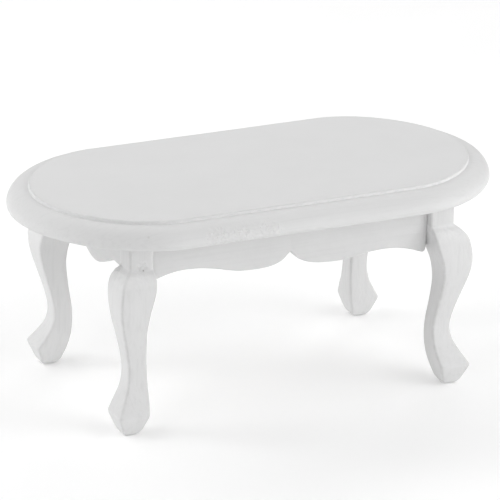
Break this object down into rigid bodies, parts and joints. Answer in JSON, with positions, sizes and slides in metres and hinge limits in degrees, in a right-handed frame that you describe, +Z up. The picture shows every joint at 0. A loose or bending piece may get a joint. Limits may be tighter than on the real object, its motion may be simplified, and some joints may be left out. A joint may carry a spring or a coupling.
{
  "type": "miniature dining table",
  "caption": "Miniature oval dining table: one moulded top on four sawn cabriole legs, joined by scalloped rails, in white painted wood.",
  "frame": {"origin": "on the floor, under the middle of the top", "axes": "+X along the table's length, -Y towards the front, +Z up"},
  "size_m": [0.147, 0.078, 0.0635],
  "materials": {
    "white_paint": "satin white paint over sanded wood",
    "bare_wood": "unpainted, sanded"
  },
  "bodies": {
    "root": {"table_top": "white_paint", "rail_front": "white_paint", "rail_back": "white_paint", "rail_left": "white_paint", "rail_right": "white_paint", "leg_back_right": "white_paint", "leg_back_left": "white_paint", "leg_front_left": "white_paint", "leg_front_right": "white_paint", "corner_block_back_right": "bare_wood", "corner_block_back_left": "bare_wood", "corner_block_front_left": "bare_wood", "corner_block_front_right": "bare_wood", "dowel_long_rail_back_right": "bare_wood", "dowel_end_rail_back_right": "bare_wood", "dowel_top_back_right": "bare_wood", "dowel_long_rail_back_left": "bare_wood", "dowel_end_rail_back_left": "bare_wood", "dowel_top_back_left": "bare_wood", "dowel_long_rail_front_left": "bare_wood", "dowel_end_rail_front_left": "bare_wood", "dowel_top_front_left": "bare_wood", "dowel_long_rail_front_right": "bare_wood", "dowel_end_rail_front_right": "bare_wood", "dowel_top_front_right": "bare_wood"}
  },
  "joints": []
}
